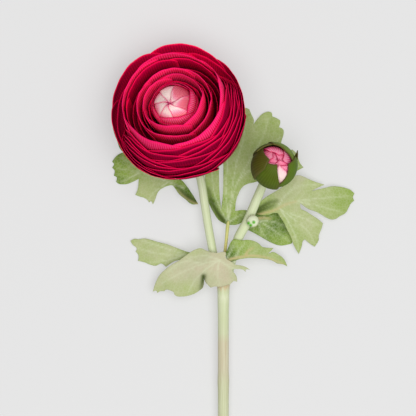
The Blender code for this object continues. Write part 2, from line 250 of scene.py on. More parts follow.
def petal_material(name, stops, rib_highlight_colour, edge_highlight_and_shade_colour, rib_strength, rib_spacing=RIB_SPACING):
    """Petal tissue: a colour ramp from claw to rim with painted shade and glow in it, ribs in its relief
    with a painted highlight on them, and an edge line painted lighter on bright rims, darker as crease
    shade on the rest.
    """
    material, tree, shader, read = new_material(name, 0.7, ("along", "across", "edge", "tone"))
    base = add_node(tree, "ShaderNodeValToRGB", links={"Fac": read["along"]}, stops=stops)
    place = add_node(tree, "ShaderNodeCombineXYZ", links={"X": read["across"], "Y": read["along"]})
    ribs = add_node(
        tree, "ShaderNodeTexWave", links={"Vector": place.outputs["Vector"]},
        values={"Scale": BAND_PERIOD / rib_spacing, "Distortion": 1.4, "Detail": 2.0,
                "Detail Scale": 1.5},
        wave_type="BANDS", bands_direction="X")
    crisp = add_node(tree, "ShaderNodeMapRange", links={"Value": ribs.outputs["Fac"]},
                     values={"From Min": 0.3, "From Max": 0.75})
    near_rim = add_node(tree, "ShaderNodeMapRange", links={"Value": read["along"]},
                        values={"From Min": 0.6, "From Max": 0.97, "To Max": rib_strength})
    share = add_node(tree, "ShaderNodeMath", operation="MULTIPLY", links={
        0: crisp.outputs["Result"], 1: near_rim.outputs["Result"]})
    # The rib colour is a painted highlight on the ribs; the edge colour is a painted highlight on bright
    # rims and a darker painted crease line on the rest.
    coated = add_coats(tree, base.outputs["Color"], [
        (share.outputs[0], 1.0, rib_highlight_colour), (read["edge"], 1.0, edge_highlight_and_shade_colour)])
    toned = add_node(tree, "ShaderNodeHueSaturation", links={"Value": read["tone"], "Color": coated})
    finish_material(tree, shader, toned.outputs["Color"], crisp.outputs["Result"], 0.6, 0.02)
    return material


# In the head's ramps the darkest stops, at the claw, are painted shade deep in the head, and the crimson
# and cerise ramps end in a painted glow at the rim. After each ramp come the ribs' painted highlight and
# the edge colour: a painted highlight for crimson and cerise, painted crease shade for the rose and cream
# petals.
crimson = petal_material(
    "crimson petal, ribbed and matt",
    [(0.0, "#300008"), (0.5, "#600012"), (0.8, "#A60036"), (0.94, "#BC0046"), (0.985, "#C80040"),
     (1.0, "#FF0854")],
    "#F80050", "#FF1058", 0.45)
# Cerise is the crimson tissue painted brighter, as painted light on the broad bands of the inner whorls
# that face the lamp.
cerise_with_painted_light = petal_material(
    "cerise petal with clear ribs",
    [(0.0, "#300008"), (0.5, "#700014"), (0.84, "#B00034"), (0.92, "#E40050"), (1.0, "#FF1060")],
    "#FF5890", "#FF1C6C", 0.65)
rose = petal_material(
    "rose petal of the ball",
    [(0.0, "#7A0018"), (0.5, "#A80034"), (0.7, "#D00848"), (0.85, "#E8205C"), (1.0, "#F83C7C")],
    "#FF88B0", "#D80450", 0.85, rib_spacing=1.7)
cream = petal_material(
    "cream petal tip",
    [(0.0, "#8A0020"), (0.7, "#D00048"), (0.865, "#F01C5C"), (0.895, "#FA4C82"), (0.92, "#FF98B4"),
     (0.94, "#FFD2CC"), (0.975, "#FFE2D8"), (1.0, "#FFB8CC")],
    "#FFF4F0", "#F04080", 0.6, rib_spacing=1.5)
print("ribs every", RIB_SPACING, "mm")

# %% [markdown]
# ## The nest of cups
#
# If each petal were bent by hand, they would run through each other. So all of them lie in one
# family of cups, one inside the other, like the shells of an onion. A cup is found by its layer,
# from 0 for the ball in the middle to 1 for the outside, and a place on it by two angles: one round
# the flower's axis and one down from it. Each petal starts in one layer at its left edge and ends
# in the next at its right, so neighbours overlap like a pinwheel and hardly touch.

# %% The family of cups
HEAD_FOOT = Vector((-20.5, 82.4, 15.6))
HEAD_AXIS = Vector((-0.159, 0.374, 0.913)).normalized()
HEAD_CENTRE_H = 14.0
CLAW_ANGLE = 160.0
BALL_RADIUS = 9.2
BALL_CROWN = 9.0
BALL_CLAW = 8.0
OUTER_RADIUS = 33.5
OUTER_CLAW = 21.0
OUTER_TURN_IN = 95.0
MIDDLE_LIFT = 28.0
OUTER_STRETCH = 0.08
CROWN_SHIFT = (2.3, 3.1)
# Each sway of a cup's girth: how many waves go round, where they start, and their size.
SWAYS = [(3, 0.6, 0.010), (5, -2.0, 0.007)]
HEAD_ACROSS = Vector((0, 0, 1)).cross(HEAD_AXIS).normalized()
HEAD_UP = HEAD_AXIS.cross(HEAD_ACROSS)


def cup_reach(layer, angle):
    """Distance of a cup from the head's centre, at an angle in degrees from the axis."""
    if angle < 90.0:
        ball = BALL_RADIUS + BALL_CROWN * math.cos(math.radians(angle)) ** 2
    else:
        ball = BALL_RADIUS - (BALL_RADIUS - BALL_CLAW) * ((angle - 90.0) / (CLAW_ANGLE - 90.0)) ** 2
    outer = OUTER_RADIUS
    if angle > OUTER_TURN_IN:
        fall = (angle - OUTER_TURN_IN) / (CLAW_ANGLE - OUTER_TURN_IN)
        outer -= (OUTER_RADIUS - OUTER_CLAW) * fall ** 2
    lift = MIDDLE_LIFT * layer * (1.0 - layer) * math.cos(math.radians(min(angle, 90.0))) ** 2
    return ball + (outer - ball) * layer + lift


def head_point(azimuth, angle, reach):
    """The world point at two angles in degrees and a reach in millimetres from the head's centre."""
    around = math.radians(azimuth)
    sway = 1.0 + sum(size * math.sin(waves * around + start) for waves, start, size in SWAYS)
    sway += OUTER_STRETCH * (reach / OUTER_RADIUS) ** 4 * math.sin(around) ** 2
    out = reach * sway * math.sin(math.radians(angle))
    height = HEAD_CENTRE_H + reach * math.cos(math.radians(angle))
    shift = max(0.0, math.cos(math.radians(angle))) ** 6
    sideways = HEAD_ACROSS * (math.cos(around) * out + CROWN_SHIFT[0] * shift)
    sideways += HEAD_UP * (math.sin(around) * out + CROWN_SHIFT[1] * shift)
    return world(HEAD_FOOT + HEAD_AXIS * height + sideways)


print("cups reach", cup_reach(0.0, 90.0), "to", cup_reach(1.0, 90.0), "mm at their widest")

# %% [markdown]
# A petal is a grid, bent onto its cup. Its rim is rounded, dips at the sides and ripples a little,
# and the last few millimetres curl outwards. The whorls stand wider apart on one open side of the
# head, and rims reach lower on the far side, where the flower looks away. Solidify adds the wall.

# %% One petal
# Walls and flutter are in millimetres, angles and waves in degrees, the twist in layers. A side is a
# direction round the axis.
PETAL_WALL = 0.2
WHORL_TWIST = 0.014
FAR_SIDE = 272.0
OPEN_SIDE = 22.0
OPEN_FROM = 62.0
OPEN_SPREAD = 0.25
SLANT = 4.5
LONG_WAVE = 1.0
SHORT_WAVE = 0.4
CLAW_WIDTH = 0.6
CURL_START = 0.75
FLUTTER = 0.06
# Painted light and shade on the outer petals: painted shade on the backs below the rim on the near side,
# and painted light on those that face away.
SHADED_LAYER = 0.7
PAINTED_LIGHT_SIDE = FAR_SIDE - 20.0
NEAR_SHADE = 0.46
NEAR_SIDE_PAINTED_SHADE = 0.84
FAR_SIDE_PAINTED_LIGHT = 1.2
dice = random.Random(7)


def smooth_step(value, low, high):
    """0 below low, 1 above high, and an even curve between."""
    share = min(1.0, max(0.0, (value - low) / (high - low)))
    return share * share * (3.0 - 2.0 * share)


def make_sheet(name, place, breadth, material, cad_node=None, wall=PETAL_WALL, tone=1.0,
               columns=32, rows=26, fade=1.0, painted_light_and_shade=None):
    """A petal or sepal: a grid whose points go where place(across, along) says.

    Across runs from -1 to 1 and stands for the breadth in millimetres; along runs from claw to rim.
    The colours of the rim reach further in when fade is below 1; the shading function, if given, paints
    light and shade into its tone.
    """
    shape = bmesh.new()
    bmesh.ops.create_grid(shape, x_segments=columns, y_segments=rows, size=1.0)
    layers = {key: shape.verts.layers.float.new(key) for key in ("along", "across", "edge", "tone")}
    for vert in shape.verts:
        across, along = vert.co.x, (vert.co.y + 1.0) / 2.0
        vert.co = place(across, along)
        vert[layers["along"]] = 1.0 - (1.0 - along) * fade
        vert[layers["across"]] = across * breadth / 2.0
        vert[layers["edge"]] = max(abs(across) ** 14, along ** 40)
        vert[layers["tone"]] = tone * (painted_light_and_shade(across, along) if painted_light_and_shade else 1.0)
    return finish_piece(shape, name, material, cad_node, wall)


def make_petal(name, middle, layer, rims, half_width, curl, rounding, material, cad_node=None,
               fade=1.0, twist=WHORL_TWIST):
    """One cupped petal: angles in degrees, curl in millimetres outwards at the rim.

    rims holds the rim's angle on the near side of the head and on the side that faces away. Below its
    rim, the back of a near outer petal is darkened with painted shade, as if the petals outside it shaded
    it, and outer petals that face away are painted lighter.
    its rim, the back of a near petal lies in the shade of the petals outside it.
    """
    phase = dice.uniform(0.0, 6.28)
    slant = dice.uniform(-SLANT, SLANT)
    near, far = rims

    def place(across, along):
        width = half_width * (CLAW_WIDTH + (1.0 - CLAW_WIDTH) * min(1.0, along * 2.0))
        facing_away = smooth_step(math.cos(math.radians(middle + width * across - FAR_SIDE)), -0.3, 0.5)
        rim = near + (far - near) * facing_away
        open_side = smooth_step(math.cos(math.radians(middle + width * across - OPEN_SIDE)), 0.0, 0.9)
        rim += OPEN_SPREAD * max(0.0, rim - OPEN_FROM) * open_side
        rim += slant * across * min(1.0, rim / 40.0)
        rim += LONG_WAVE * math.sin(3.5 * across + phase)
        rim += SHORT_WAVE * math.sin(9 * across + 2 * phase)
        rim += (CLAW_ANGLE - rim) * rounding * abs(across) ** 3
        angle = CLAW_ANGLE + (rim - CLAW_ANGLE) * along
        near_rim = max(0.0, (along - CURL_START) / (1.0 - CURL_START))
        reach = cup_reach(layer + twist * across, angle) + curl * near_rim ** 2
        reach += FLUTTER * near_rim * math.sin(19 * across + phase)
        return head_point(middle + width * across, angle, reach)

    # Painted light and shade in the tone: darker backs below the rim on the near side, lighter petals
    # facing away.
    def painted_light_and_shade(across, along):
        if material is not crimson or layer < SHADED_LAYER:
            return 1.0
        turn = math.radians(middle + half_width * across - PAINTED_LIGHT_SIDE)
        away = smooth_step(math.cos(turn), 0.4, 0.97)
        below = smooth_step(along, 0.86, 0.94) * (1.0 - smooth_step(along, 0.975, 0.99))
        return NEAR_SIDE_PAINTED_SHADE + (FAR_SIDE_PAINTED_LIGHT - NEAR_SIDE_PAINTED_SHADE) * away - NEAR_SHADE * (1.0 - away) * below

    breadth = 2.0 * math.radians(half_width) * cup_reach(layer, near)
    make_sheet(name, place, breadth, material, cad_node, tone=dice.uniform(0.92, 1.14),
               fade=fade, painted_light_and_shade=painted_light_and_shade)


print("petal walls", PETAL_WALL, "mm thick")

# %% [markdown]
# The whorls, from the outside in. The outer ones sit close together, so their rims show as thin
# lines; three inner ones rise well above their neighbours and show a broad band of their backs.

# %% All the whorls
# Each row: petals, layer, rim angle near and far, half width, turn, curl, rounding, material, and
# the name of the plain petals that the row stands for.
# The cerise rows carry painted light on their broad bands.
WHORLS = [
    (6, 0.965, (89, 83), 43, 0, 0.5, 0.26, crimson, "petal_outer"),
    (6, 0.932, (86, 95), 43, 30, 0.4, 0.22, crimson, None),
    (6, 0.900, (82, 106), 43, 10, 0.3, 0.16, crimson, None),
    (5, 0.868, (78, 107), 50, 46, 0.3, 0.16, crimson, None),
    (6, 0.836, (74, 107), 43, 25, 0.3, 0.16, crimson, "petal_second"),
    (5, 0.804, (71, 105), 50, 10, 0.3, 0.16, crimson, None),
    (5, 0.772, (67, 101), 50, 40, 0.2, 0.16, crimson, None),
    (5, 0.740, (62, 95), 50, 2, 0.2, 0.16, crimson, None),
    (5, 0.690, (54, 64), 52, 34, 0.5, 0.10, cerise_with_painted_light, "petal_third"),
    (5, 0.635, (66, 68), 50, 10, 0.0, 0.10, crimson, None),
    (5, 0.550, (84, 86), 50, 50, 0.0, 0.10, crimson, None),
    (5, 0.450, (84, 84), 50, 23, 0.0, 0.10, crimson, "petal_fourth"),
    (5, 0.360, (56, 59), 52, 54, 0.4, 0.12, cerise_with_painted_light, None),
    (4, 0.290, (72, 66), 62, 5, 0.0, 0.10, crimson, None),
    (4, 0.215, (42, 52), 62, 45, 0.3, 0.12, cerise_with_painted_light, "petal_fifth"),
    (4, 0.140, (70, 62), 62, 70, 0.0, 0.10, crimson, None),
    (4, 0.060, (46, 42), 62, 30, 0.0, 0.12, rose, "petal_inner"),
    (4, 0.035, (30, 38), 62, 75, 0.0, 0.14, rose, None),
]
petal_total = 0
for row, (count, layer, rims, half_width, turn, curl, rounding, material, cad_row) in enumerate(WHORLS):
    for index in range(count):
        middle = turn + index * 360.0 / count + dice.uniform(-4.0, 4.0)
        cad_node = f"{cad_row}_{index + 1}" if cad_row else None
        make_petal(f"petal_row_{row + 1:02d}_{index + 1}", middle, layer, rims, half_width, curl,
                   rounding, material, cad_node)
        petal_total += 1

# The tips that close the ball. Each row: direction, layer, rim angle, half width, fade. The last
# one is wide and lies under the others.
BALL_TIPS = [
    (250, 0.004, -3, 44, 0.36), (300, 0.004, 2, 38, 0.5), (345, 0.004, -1, 42, 0.6),
    (35, 0.004, 2, 40, 0.62), (82, 0.004, -2, 44, 0.72), (136, 0.004, 2, 46, 1.4),
    (196, 0.004, 0, 48, 1.4), (60, -0.013, -7, 110, 1.4)]
TIP_TWIST = 0.009
for index, (middle, layer, rim, half_width, fade) in enumerate(BALL_TIPS):
    make_petal(f"petal_tip_{index + 1}", middle, layer, (rim, rim), half_width, 0.0, 0.1, cream,
               fade=fade, twist=TIP_TWIST)
print("petals in the head:", petal_total + len(BALL_TIPS))

# %% [markdown]
# ## Under the flower
#
# The petals grow on a short green cone, the receptacle, whose plain shape is right already, so it
# only gets its finish. Five small green sepals lie under the outermost petals. Sepals and the cone
# are the same tissue: smooth green with a faint shine and lengthwise veins, browner where it has
# dried.

# %% Sepal tissue
SEPAL_VEIN_SPACING = 1.4


def sepal_material(name, stops):
    """Green sepal tissue: the tone attribute picks the green, with lengthwise veins and mottling."""
    material, tree, shader, read = new_material(name, 0.55, ("along", "across", "tone", "edge"))
    place = add_node(tree, "ShaderNodeTexCoord")
    mottle = add_node(tree, "ShaderNodeTexNoise", links={"Vector": place.outputs["Object"]},
                      values={"Scale": 0.3 / MM, "Detail": 4.0})
    mixed = add_node(tree, "ShaderNodeMath", operation="MULTIPLY_ADD", values={1: 0.24}, links={
        0: mottle.outputs["Fac"], 2: read["tone"]})
    base = add_node(tree, "ShaderNodeValToRGB", links={"Fac": mixed.outputs[0]}, stops=stops)
    strip = add_node(tree, "ShaderNodeCombineXYZ", links={"X": read["across"], "Y": read["along"]})
    veins = add_node(tree, "ShaderNodeTexWave", links={"Vector": strip.outputs["Vector"]},
                     values={"Scale": BAND_PERIOD / SEPAL_VEIN_SPACING, "Distortion": 2.0, "Detail": 2.0})
    coated = add_coats(tree, base.outputs["Color"], [
        (veins.outputs["Fac"], 0.09, "#879538"), (read["edge"], 1.0, "#5B5727")])
    finish_material(tree, shader, coated, veins.outputs["Fac"], 0.12, 0.12)
    return material


sepal_green = sepal_material(
    "sepal, smooth green tissue",
    [(0.0, "#473213"), (0.22, "#494713"), (0.45, "#49590E"), (0.75, "#557417"), (1.0, "#859A44")])
print("sepal veins every", SEPAL_VEIN_SPACING, "mm")

# %% The cone and the sepals under the head
receptacle = bpy.data.objects["receptacle"]
if not receptacle.material_slots:
    receptacle.data.materials.append(sepal_green)
for material_slot in receptacle.material_slots:
    material_slot.material = sepal_green

SEPAL_COUNT = 5
SEPAL_LAYER = 1.1
SEPAL_RIM = 144.0
SEPAL_HALF_WIDTH = 32.0
SEPAL_BREADTH = 14.0
SEPAL_WALL = 0.45
for index in range(SEPAL_COUNT):
    turn = 35.0 + index * 360.0 / SEPAL_COUNT

    def sepal_place(across, along, turn=turn):
        rim = SEPAL_RIM + (CLAW_ANGLE - SEPAL_RIM) * 0.7 * abs(across) ** 2
        angle = CLAW_ANGLE + (rim - CLAW_ANGLE) * along
        reach = cup_reach(SEPAL_LAYER + 0.02 * across, angle)
        return head_point(turn + SEPAL_HALF_WIDTH * across, angle, reach)

    make_sheet(f"head_sepal_{index + 1}", sepal_place, SEPAL_BREADTH, sepal_green,
               f"sepal_{index + 1}", wall=SEPAL_WALL, tone=0.6, columns=16, rows=10)
print("sepals under the head:", SEPAL_COUNT)

# %% [markdown]
# ## The bud
#
# The bud is a ball of pink petals, still folded over each other, held by five thick green sepals
# that have begun to part. Each sepal is a spoon: broad at its foot, with one blunt point. They are
# not alike, so every one has its own direction, width, point and tone, and one has a dried tip.

# %% The bud
BUD_CENTRE = Vector((25.0, 61.0, 25.0))
BUD_AXIS = Vector((0.20, 0.28, 0.94)).normalized()
BUD_ACROSS = Vector((0, 0, 1)).cross(BUD_AXIS).normalized()
BUD_UP = BUD_AXIS.cross(BUD_ACROSS)
BUD_CLAW_ANGLE = 158.0
# In millimetres from the bud's centre, with the twist from one edge of a piece to its middle.
BUD_TWIST = 0.5
BUD_SEPAL_REACH = 11.2
BUD_SEPAL_WALL = 0.6
PALE_FOLD_REACH = 10.0
BUD_FOLD_REACH = 9.4
BUD_HEART_REACH = 8.7


def bud_sheet(name, middle, half_width, tip, drops, lean, radius, material, cad_node, wall, tone):
    """A spoon-shaped piece of the bud; its point is off its middle by its lean, with two drops."""
    def place(across, along):
        drop = drops[0] if across < lean else drops[1]
        rim = tip + drop * abs(across - lean) ** 1.5
        angle = math.radians(BUD_CLAW_ANGLE + (rim - BUD_CLAW_ANGLE) * along)
        azimuth = math.radians(middle + half_width * across)
        reach = radius + BUD_TWIST * across
        sideways = BUD_ACROSS * math.cos(azimuth) + BUD_UP * math.sin(azimuth)
        return world(BUD_CENTRE + (BUD_AXIS * math.cos(angle) + sideways * math.sin(angle)) * reach)

    breadth = 2.0 * math.radians(half_width) * radius
    make_sheet(name, place, breadth, material, cad_node, wall=wall, tone=tone, columns=24)


# After each bud ramp come the ribs' painted highlight and the edge colour, a darker painted crease line.
bud_pink = petal_material(
    "pink bud petal, folded",
    [(0.0, "#B00040"), (0.6, "#D01858"), (0.8, "#F04880"), (0.92, "#FF70A0"), (1.0, "#FF90B0")],
    "#FFC8D4", "#C80050", 0.75, rib_spacing=1.5)
bud_pale = petal_material(
    "pale bud petal",
    [(0.0, "#F090A8"), (0.5, "#F8C0C4"), (0.75, "#FFE2DC"), (0.9, "#FFD0D4"), (1.0, "#F890B0")],
    "#FFF2EC", "#F07898", 0.5)

# Each sepal: direction, half width, angle of its point, drop on either side of it, lean, tone.
BUD_SEPALS = [(26, 44, 24, (30, 34), 0.3, 0.1), (88, 46, 15, (12, 120), 0.4, 0.34),
              (182, 52, 28, (43, 36), 0.18, 0.52), (266, 52, 33, (14, 16), 0.0, 0.74),
              (324, 40, 56, (12, 12), 0.0, 0.3)]
for index, (middle, half_width, tip, drops, lean, tone) in enumerate(BUD_SEPALS):
    bud_sheet(f"bud_spoon_{index + 1}", middle, half_width, tip, drops, lean, BUD_SEPAL_REACH,
              sepal_green, f"bud_sepal_{index + 1}", BUD_SEPAL_WALL, tone)
# Each petal: direction, half width, angle of its point, drop of its sides.
BUD_PETALS = [(10, 48, 16, 22), (82, 48, 12, 24), (154, 50, 18, 22), (226, 48, 12, 24),
              (298, 48, 15, 22)]
for index, (middle, half_width, tip, drop) in enumerate(BUD_PETALS):
    bud_sheet(f"bud_fold_{index + 1}", middle, half_width, tip, (drop, drop), 0.0, BUD_FOLD_REACH,
              bud_pink, f"bud_petal_{index + 1}", PETAL_WALL, dice.uniform(0.9, 1.1))
BUD_HEARTS = (20, 140, 260)
for index, middle in enumerate(BUD_HEARTS):
    bud_sheet(f"bud_heart_{index + 1}", middle, 64, -10, (10, 10), 0.0, BUD_HEART_REACH, bud_pink,
              None, PETAL_WALL, 1.0)
print("in the bud:", len(BUD_SEPALS), "sepals and", len(BUD_PETALS) + len(BUD_HEARTS), "folds")

# %% The dried tip and the pale fold
DRY_TIP_REACH = (10.9, 14.1)
DRY_TIP_ANGLE = (74.0, 60.0)
DRY_TIP_AZIMUTH = (228.0, 246.0)


def dry_tip_place(across, along):
    """The dried point of one sepal, which stands off the bud and narrows to nothing."""
    reach, angle, azimuth = (start + (end - start) * along for start, end in (
        DRY_TIP_REACH, DRY_TIP_ANGLE, DRY_TIP_AZIMUTH))
    angle = math.radians(angle)
    azimuth = math.radians(azimuth + 10.0 * across * (1.0 - along))
    sideways = BUD_ACROSS * math.cos(azimuth) + BUD_UP * math.sin(azimuth)
    return world(BUD_CENTRE + (BUD_AXIS * math.cos(angle) + sideways * math.sin(angle)) * reach)


make_sheet("bud_dry_tip", dry_tip_place, 3.4, sepal_green, None, wall=0.4, tone=-0.1,
           columns=8, rows=8)
bud_sheet("bud_pale_fold", 133, 30, 14, (24, 24), 0.0, PALE_FOLD_REACH, bud_pale, None,
          PETAL_WALL, 1.0)
print("dried tip", round(DRY_TIP_REACH[1] - BUD_SEPAL_REACH, 1), "mm clear of the sepals")

# %% [markdown]
# ## Stems
#
# A stem is one ring of points drawn along a smooth route, ring after ring, with its own thickness
# at each place. Its skin is pale green, nearly smooth, with fine lengthwise streaks and a soft
# shine. The main stem has a beige stretch, a pale ring near its top, which is a painted highlight
# line at a node, and a tan end under the front leaf, and it starts with a plain cut round a soft pith.

# %% Stem tools
def stem_material(name, stops, streak_colour, length):
    """Stem skin: a colour ramp over the length in millimetres, with lengthwise streaks."""
    material, tree, shader, read = new_material(name, 0.5, ("along", "side", "height"))
    share = add_node(tree, "ShaderNodeMath", operation="DIVIDE", links={0: read["along"]},
                     values={1: length})
    strand = add_node(tree, "ShaderNodeCombineXYZ", links={
        "X": read["side"], "Y": read["height"], "Z": share.outputs[0]})
    patches = add_node(tree, "ShaderNodeTexNoise", links={"Vector": strand.outputs["Vector"]},
                       values={"Scale": 0.7, "Detail": 3.0})
    shifted = add_node(tree, "ShaderNodeMath", operation="MULTIPLY_ADD", values={1: 0.04}, links={
        0: patches.outputs["Fac"], 2: share.outputs[0]})
    base = add_node(tree, "ShaderNodeValToRGB", links={"Fac": shifted.outputs[0]}, stops=stops)
    stretched = add_node(tree, "ShaderNodeMapping", links={"Vector": strand.outputs["Vector"]},
                         values={"Scale": (1.0, 1.0, 0.02 * length)})
    streaks = add_node(tree, "ShaderNodeTexNoise", links={"Vector": stretched.outputs["Vector"]},
                       values={"Scale": 2.2, "Detail": 3.0, "Roughness": 0.6})
    clear = add_node(tree, "ShaderNodeMapRange", links={"Value": streaks.outputs["Fac"]},
                     values={"From Min": 0.42, "From Max": 0.7, "To Max": 0.7})
    coated = add_coats(tree, base.outputs["Color"], [(clear.outputs["Result"], 1.0, streak_colour)])
    finish_material(tree, shader, coated, streaks.outputs["Fac"], 0.4, 0.25)
    return material


def smooth_route(route, steps=8):
    """A smooth curve through points of x, y, z and radius, as a longer list of such points."""
    points = [Vector(point) for point in route]
    ends = [points[0]] + points + [points[-1]]
    curve = []
    for before, start, end, after in zip(ends, ends[1:], ends[2:], ends[3:]):
        for step in range(steps):
            t = step / steps
            curve.append(0.5 * (
                2 * start + (end - before) * t + (2 * before - 5 * start + 4 * end - after) * t ** 2
                + (3 * start - before - 3 * end + after) * t ** 3))
    return curve + [points[-1]]


def make_stem(cad_node, material, route, sides=24):
    """A stem drawn along its route, closed at both ends, with a shallow pith at its start."""
    curve = smooth_route(route)
    shape = bmesh.new()
    layers = {key: shape.verts.layers.float.new(key) for key in ("turn", "along", "side", "height")}
    ring = bmesh.ops.create_circle(shape, cap_ends=True, segments=sides, radius=1.0)["verts"]
    for vert in ring:
        vert[layers["turn"]] = math.atan2(vert.co.y, vert.co.x)
    edges = shape.edges[:]
    along = 0.0
    for index, point in enumerate(curve):
        if index:
            along += (point.xyz - curve[index - 1].xyz).length
            grown = bmesh.ops.extrude_edge_only(shape, edges=edges)["geom"]
            ring = [item for item in grown if isinstance(item, bmesh.types.BMVert)]
            edges = [edge for edge in grown if isinstance(edge, bmesh.types.BMEdge)
                     and all(vert in ring for vert in edge.verts)]
        ahead = (curve[min(index + 1, len(curve) - 1)] - curve[max(index - 1, 0)]).xyz.normalized()
        level = Vector((0, 0, 1)).cross(ahead).normalized()
        upward = ahead.cross(level)
        for vert in ring:
            turn = vert[layers["turn"]]
            vert.co = world(point.xyz + (level * math.cos(turn) + upward * math.sin(turn)) * point.w)
            vert[layers["along"]] = along
            vert[layers["side"]] = math.cos(turn) * point.w
            vert[layers["height"]] = math.sin(turn) * point.w
    bmesh.ops.contextual_create(shape, geom=edges)
    shape.faces.ensure_lookup_table()
    bmesh.ops.inset_region(shape, faces=[shape.faces[0]], thickness=0.5 * MM, depth=-0.3 * MM)
    bmesh.ops.recalc_face_normals(shape, faces=shape.faces[:])
    return finish_piece(shape, f"{cad_node}_skin", material, cad_node)


# %% The stems
# The pale stop at 0.95 is the ring near the top: a painted highlight line at a node.
main_skin = stem_material(
    "main stem skin, pale green with dry stretches",
    [(0.0, "#B1B886"), (0.2, "#C0C59B"), (0.62, "#BEC399"), (0.68, "#BCBE95"), (0.73, "#C0B697"),
     (0.81, "#C2B797"), (0.84, "#C3C9A1"), (0.93, "#C3CD9F"), (0.95, "#D3D9B4"), (0.96, "#C7D0A5"),
     (0.968, "#C4CA9E"), (0.98, "#C2AC82"), (1.0, "#C0A87A")],
    "#D7DABE", 165.0)
stalk_skin = stem_material(
    "stalk skin, pale green",
    [(0.0, "#C6D2A0"), (0.5, "#CAD4AA"), (0.8, "#C2CF9C"), (1.0, "#B0C084")], "#DEE4C8", 90.0)
petiole_skin = stem_material(
    "leaf stalk, yellow green",
    [(0.0, "#C6BB64"), (0.5, "#D0C672"), (1.0, "#B7BC6B")], "#DAD392", 22.0)

make_stem("main_stem", main_skin, [
    (0, -158, 2.8, 2.75), (0, -130, 2.9, 2.75), (0, -100, 3.3, 2.72), (0, -75, 4.0, 2.7),
    (0, -60, 4.5, 2.72), (0, -52, 4.85, 2.78), (0, -47, 5.05, 2.92), (0, -42, 5.25, 2.76),
    (0, -30, 5.8, 2.75), (0, -20, 6.3, 2.75), (0, -13, 6.7, 2.78), (0, -9, 6.95, 2.86),
    (0, -6, 7.1, 2.96), (0, -3, 7.25, 2.96), (0, 1, 7.4, 3.2), (0, 4.5, 7.5, 3.4), (0, 7, 7.5, 2.6),
    (0, 8.4, 7.5, 1.2)])
make_stem("flower_stalk", stalk_skin, [
    (-1.2, 1, 7.3, 1.8), (-2.1, 5, 7.5, 2.1), (-3.6, 11, 7.5, 2.1), (-5.25, 18, 7.4, 2.1),
    (-7.5, 30, 7.0, 2.1), (-9.4, 42, 6.3, 2.1), (-11.25, 53.5, 5.2, 2.1), (-14, 64, 3.8, 2.1),
    (-16.2, 70, 3.2, 2.1), (-18, 75, 4.5, 2.2), (-19.1, 79, 7.2, 2.4)])
make_stem("bud_stalk", stalk_skin, [
    (1.4, 1, 7.3, 1.8), (2.4, 5, 7.5, 2.1), (4.0, 13, 7.6, 2.3), (7.4, 24.5, 8.0, 2.4),
    (11.9, 33, 8.7, 2.4), (16.4, 43.5, 9.2, 2.35), (19.6, 51, 9.6, 2.25), (21.6, 55.6, 11.4, 2.3),
    (22.6, 57.6, 13.6, 2.6)])
make_stem("upper_leaf_stalk", petiole_skin, [
    (-0.4, 9, 7.6, 1.0), (0.0, 14, 7.3, 0.85), (0.8, 18, 7.0, 0.8), (1.6, 25, 6.4, 0.8),
    (2.2, 31.2, 5.9, 0.9), (2.6, 33.5, 5.8, 0.5)], sides=14)
print("stems: main, flower, bud and one leaf stalk")

# %% [markdown]
# Where a side shoot starts, the bud stalk carries a small pale knob with three green points on it.

# %% Side bud
SIDE_BUD_CENTRE = Vector((14.7, 33.5, 13.2))
SIDE_BUD_RADII = Vector((3.1, 3.1, 2.6))
knob_skin, knob_tree, knob_shader, knob_read = new_material(
    "side bud, pale with green points", 0.6, ("point", "height"))
knob_base = add_node(knob_tree, "ShaderNodeValToRGB", links={"Fac": knob_read["height"]}, stops=[
    (0.0, "#B3C187"), (0.3, "#CBC8A2"), (0.5, "#DAE0C1"), (1.0, "#E0E8C9")])
knob_speck = add_node(knob_tree, "ShaderNodeTexNoise", values={"Scale": 1.2 / MM, "Detail": 3.0}, links={
    "Vector": add_node(knob_tree, "ShaderNodeTexCoord").outputs["Object"]})
knob_coated = add_coats(knob_tree, knob_base.outputs["Color"], [
    (knob_speck.outputs["Fac"], 0.3, "#B2C18B"), (knob_read["point"], 1.0, "#55AA00")])
knob_tree.links.new(knob_coated, knob_shader.inputs["Base Color"])

KNOB_POINTS = [Vector((-2.0, -1.0)), Vector((0.4, -0.6)), Vector((-1.0, -2.0))]
KNOB_POINT_SIZE = 1.1
knob = bmesh.new()
knob_point = knob.verts.layers.float.new("point")
knob_up = knob.verts.layers.float.new("height")
bmesh.ops.create_icosphere(knob, subdivisions=5, radius=1.0)
for vert in knob.verts:
    vert[knob_up] = vert.co.z
    flat = Vector((vert.co.x * SIDE_BUD_RADII.x, vert.co.y * SIDE_BUD_RADII.y))
    nearest = min((flat - point).length for point in KNOB_POINTS) if vert.co.z > 0 else 9.0
    vert[knob_point] = max(0.0, min(1.0, 1.5 - 1.5 * nearest / KNOB_POINT_SIZE))
    swell = 1.0 + 0.12 * vert[knob_point] + 0.03 * noise.noise(vert.co * 2.0)
    vert.co = world(SIDE_BUD_CENTRE + Vector(
        side * size for side, size in zip(vert.co, SIDE_BUD_RADII)) * swell)
finish_piece(knob, "side_bud_knob", knob_skin, "side_bud")
print("green points on the side bud:", len(KNOB_POINTS))

# %% [markdown]
# ## Leaves
#
# A buttercup leaf is a flat blade cut into lobes, with small teeth, pale veins that fan out from
# its foot, and tissue that swells a little between them. Each blade is drawn in plan as an outline of
# smooth points and sharp teeth, filled and cut into small squares, and then raised: its height over
# the surface runs smoothly between a few stated places. The same kind of list gives its tone, from
# dry beige through grey green to dark green. The veins sink slightly, and folds sink more.

